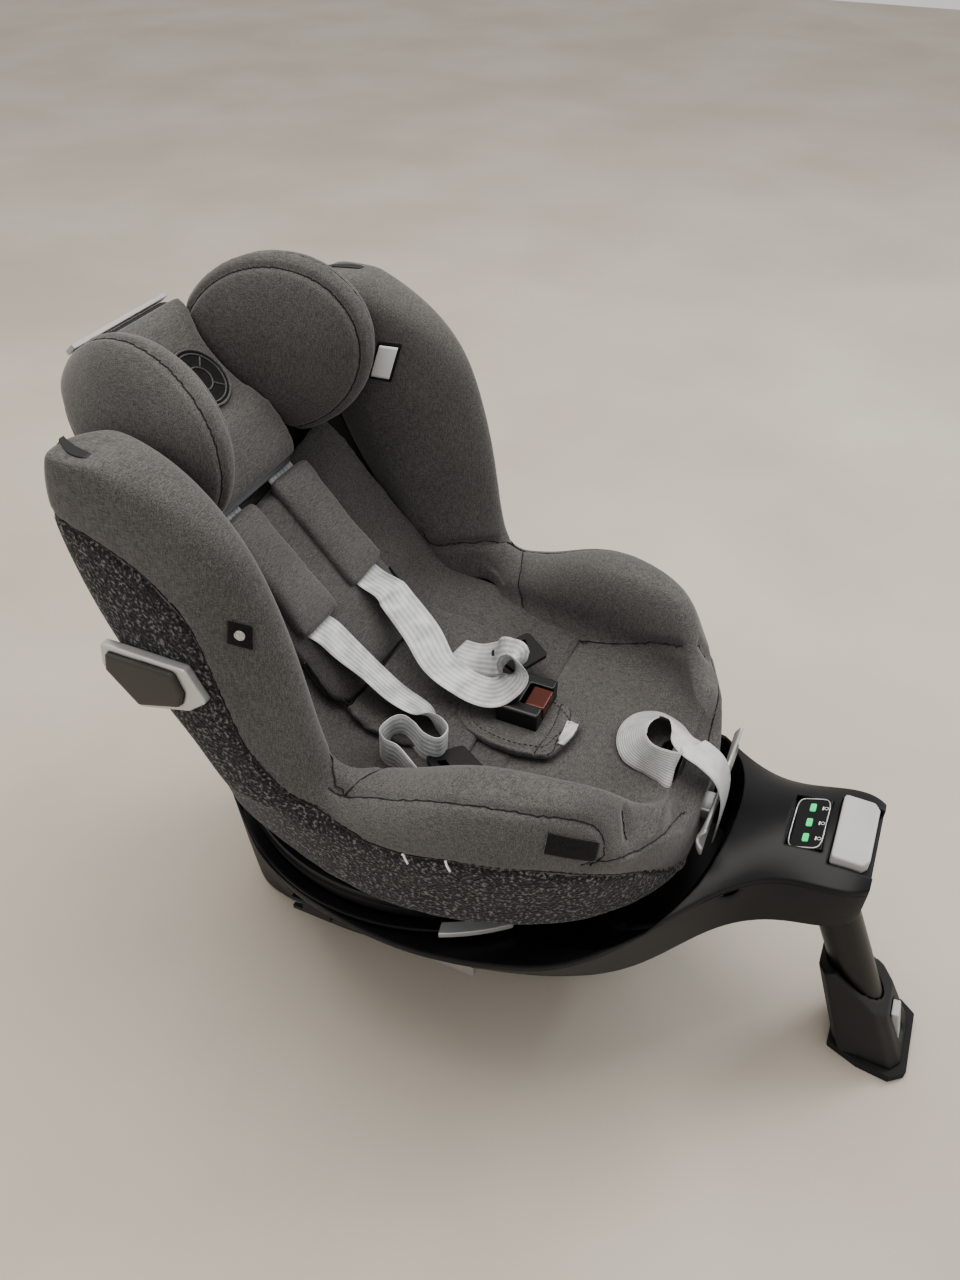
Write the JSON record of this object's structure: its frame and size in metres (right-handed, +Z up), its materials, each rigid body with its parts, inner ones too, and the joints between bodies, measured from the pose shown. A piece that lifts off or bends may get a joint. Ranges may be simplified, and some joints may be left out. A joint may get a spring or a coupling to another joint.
{
  "type": "convertible child car seat",
  "caption": "Rotating convertible child car seat: reclining padded shell, sliding winged headrest, harness with buckle, bowl base with folding load leg, hinged side protectors.",
  "frame": {"origin": "on the floor under the turntable's axis, at the centre of the floor pad's underside", "axes": "+X to the child's left, +Y to the seat's rear, +Z up; the seat faces -Y at rest"},
  "size_m": [0.438, 0.811, 0.6453],
  "materials": {
    "base_satin_black": "satin",
    "base_dark_grey": "fine texture",
    "display_gloss": "gloss",
    "lamp_green": "lit lens",
    "light_grey_plastic": "satin",
    "black_plastic": "satin",
    "rubber_black": "matt",
    "zinc_steel": "plated",
    "roller_plastic": "smooth",
    "leg_black_tube": "satin powder coat",
    "foot_grey": "fine texture",
    "silver_plastic": "satin silver lacquer",
    "shell_black": "satin",
    "grey_melange_fabric": "fine melange weave",
    "dark_boucle_fabric": "speckled boucle",
    "foam_covered": "fine melange weave",
    "harness_webbing": "ribbed polyester webbing",
    "buckle_black": "satin",
    "buckle_red": "satin",
    "shield_grey": "satin"
  },
  "bodies": {
    "base": {"base_lower_shell": "base_dark_grey", "base_top_cover": "base_satin_black", "display_panel": "display_gloss", "indicator_lamps": "lamp_green", "floor_pad": "rubber_black", "steel_floor_plate": "zinc_steel", "case_screws": "zinc_steel", "slew_rollers": "roller_plastic", "leg_pivot_pin": "zinc_steel"},
    "front_button": {"front_release_button": "light_grey_plastic"},
    "anchors": {"anchor_arms": "zinc_steel", "connector_cases": "black_plastic", "anchor_jaws": "zinc_steel"},
    "connector_button_left": {"connector_button_left": "light_grey_plastic"},
    "connector_button_right": {"connector_button_right": "light_grey_plastic"},
    "leg": {"leg_tube": "leg_black_tube", "leg_top_fitting": "black_plastic"},
    "foot": {"leg_stay": "zinc_steel", "foot_case": "foot_grey", "foot_sole": "rubber_black"},
    "foot_button": {"foot_button": "light_grey_plastic"},
    "turntable": {"turntable_cradle": "black_plastic", "turntable_ring": "black_plastic"},
    "turn_button_left": {"turn_button_left": "silver_plastic"},
    "turn_button_right": {"turn_button_right": "silver_plastic"},
    "seat": {"hull_shell": "shell_black", "tub_shell": "shell_black", "back_shell": "shell_black", "wing_bolsters": "grey_melange_fabric", "wing_panels": "dark_boucle_fabric", "front_apron": "grey_melange_fabric", "side_panels": "grey_melange_fabric", "seat_foam": "foam_covered", "seat_cushion": "grey_melange_fabric", "thigh_bolsters": "grey_melange_fabric", "infant_inlay": "grey_melange_fabric", "back_cushion": "grey_melange_fabric", "headrest_rails": "zinc_steel", "buckle_body": "buckle_black", "crotch_strap": "harness_webbing", "crotch_pad": "grey_melange_fabric", "tongue_left": "buckle_black", "tongue_right": "buckle_black", "webbing_left": "harness_webbing", "webbing_right": "harness_webbing", "adjuster_strap": "harness_webbing", "adjuster_case": "black_plastic"},
    "headrest": {"headrest_shell": "shell_black", "headrest_pad": "grey_melange_fabric", "headrest_wings": "grey_melange_fabric", "headrest_top_strip": "light_grey_plastic", "shoulder_pads": "grey_melange_fabric"},
    "headrest_grip": {"headrest_grip": "black_plastic"},
    "buckle_button": {"buckle_button": "buckle_red"},
    "adjuster_button": {"adjuster_button": "silver_plastic"},
    "recline_handle": {"recline_handle": "silver_plastic"},
    "shield_left": {"shield_bezel_left": "silver_plastic", "shield_cap_left": "shield_grey"},
    "shield_right": {"shield_bezel_right": "silver_plastic", "shield_cap_right": "shield_grey"}
  },
  "joints": [
    {"name": "front_button_press", "type": "slide", "parent": "base", "child": "front_button", "axis": [0, 0, -1], "range_m": [0, 0.003], "stiffness_N_per_m": 400, "springref_m": -0.002},
    {"name": "anchor_slide", "type": "slide", "parent": "base", "child": "anchors", "axis": [0, 1, 0], "range_m": [0, 0.15]},
    {"name": "connector_button_left_press", "type": "slide", "parent": "anchors", "child": "connector_button_left", "axis": [0, 0, -1], "range_m": [0, 0.0015], "stiffness_N_per_m": 300, "springref_m": -0.001},
    {"name": "connector_button_right_press", "type": "slide", "parent": "anchors", "child": "connector_button_right", "axis": [0, 0, -1], "range_m": [0, 0.0015], "stiffness_N_per_m": 300, "springref_m": -0.001},
    {"name": "leg_fold", "type": "hinge", "parent": "base", "child": "leg", "pos_m": [0, -0.378, 0.214], "axis": [1, 0, 0], "range_deg": [0, 50]},
    {"name": "leg_extend", "type": "slide", "parent": "leg", "child": "foot", "axis": [0, -0.3987, -0.9171], "range_m": [0, 0.08]},
    {"name": "foot_button_press", "type": "slide", "parent": "foot", "child": "foot_button", "axis": [0, 1, 0], "range_m": [0, 0.003], "stiffness_N_per_m": 400, "springref_m": -0.002},
    {"name": "seat_turn", "type": "hinge", "parent": "base", "child": "turntable", "pos_m": [0, 0, 0.265], "axis": [0, 0, 1], "continuous": true},
    {"name": "turn_button_left_press", "type": "slide", "parent": "turntable", "child": "turn_button_left", "axis": [-0.85, 0.5268, 0], "range_m": [0, 0.003], "stiffness_N_per_m": 400, "springref_m": -0.002},
    {"name": "turn_button_right_press", "type": "slide", "parent": "turntable", "child": "turn_button_right", "axis": [0.85, 0.5268, 0], "range_m": [0, 0.003], "stiffness_N_per_m": 400, "springref_m": -0.002},
    {"name": "seat_recline", "type": "hinge", "parent": "turntable", "child": "seat", "pos_m": [0, 0, 0.265], "axis": [-1, 0, 0], "range_deg": [0, 15]},
    {"name": "headrest_slide", "type": "slide", "parent": "seat", "child": "headrest", "axis": [0, 0.6561, 0.7547], "range_m": [0, 0.12]},
    {"name": "headrest_grip_squeeze", "type": "slide", "parent": "headrest", "child": "headrest_grip", "axis": [0, 0.6561, 0.7547], "range_m": [0, 0.006], "stiffness_N_per_m": 300, "springref_m": -0.002},
    {"name": "buckle_release", "type": "slide", "parent": "seat", "child": "buckle_button", "axis": [0, 1, 0], "range_m": [0, 0.003], "stiffness_N_per_m": 600, "springref_m": -0.002},
    {"name": "adjuster_press", "type": "slide", "parent": "seat", "child": "adjuster_button", "axis": [0, 0, -1], "range_m": [0, 0.003], "stiffness_N_per_m": 400, "springref_m": -0.002},
    {"name": "recline_lift", "type": "slide", "parent": "seat", "child": "recline_handle", "axis": [0, 0, 1], "range_m": [0, 0.006], "stiffness_N_per_m": 400, "springref_m": -0.004},
    {"name": "shield_left_open", "type": "hinge", "parent": "seat", "child": "shield_left", "pos_m": [0.2056, 0.094, 0.42], "axis": [0, 0, -1], "range_deg": [0, 45]},
    {"name": "shield_right_open", "type": "hinge", "parent": "seat", "child": "shield_right", "pos_m": [-0.2056, 0.094, 0.42], "axis": [0, 0, 1], "range_deg": [0, 45]}
  ]
}
